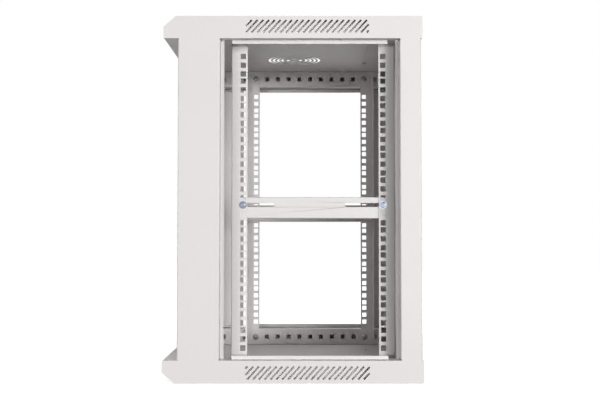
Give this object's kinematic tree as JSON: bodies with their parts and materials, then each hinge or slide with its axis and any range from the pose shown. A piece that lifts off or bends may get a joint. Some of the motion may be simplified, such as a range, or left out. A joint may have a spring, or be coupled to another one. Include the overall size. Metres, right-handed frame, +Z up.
{
  "type": "wall mount rack cabinet",
  "caption": "Sheet steel wall cabinet frame for 19 inch equipment, open at the front and sides, with vented roof and base, punched rails and a closed back.",
  "frame": {"origin": "centre of the 600 by 450 mm footprint, on the underside of the base", "axes": "+X to the right seen from the front, +Y from the open front to the back, +Z up"},
  "size_m": [0.6, 0.45, 0.635],
  "materials": {
    "frame_paint": "fine textured light grey powder coat",
    "inner_paint": "fine textured light grey powder coat",
    "zinc": "blue passivated zinc plate"
  },
  "bodies": {
    "root": {"roof_panel": "frame_paint", "base_panel": "frame_paint", "front_post_left": "frame_paint", "front_post_right": "frame_paint", "rear_post_left": "frame_paint", "rear_post_right": "frame_paint", "back_panel": "frame_paint", "top_beam_left": "inner_paint", "top_beam_right": "inner_paint", "bottom_beam_left": "inner_paint", "bottom_beam_right": "inner_paint", "front_rail_left": "inner_paint", "front_rail_right": "inner_paint", "rear_rail_left": "inner_paint", "rear_rail_right": "inner_paint", "side_bar_left": "inner_paint", "side_bar_right": "inner_paint", "roof_cable_cover": "frame_paint", "base_cable_cover": "frame_paint", "back_cable_cover": "frame_paint", "rail_screws": "zinc", "rail_nuts": "zinc", "bar_screws": "zinc", "bar_washers": "zinc", "bar_nuts": "zinc"}
  },
  "joints": []
}
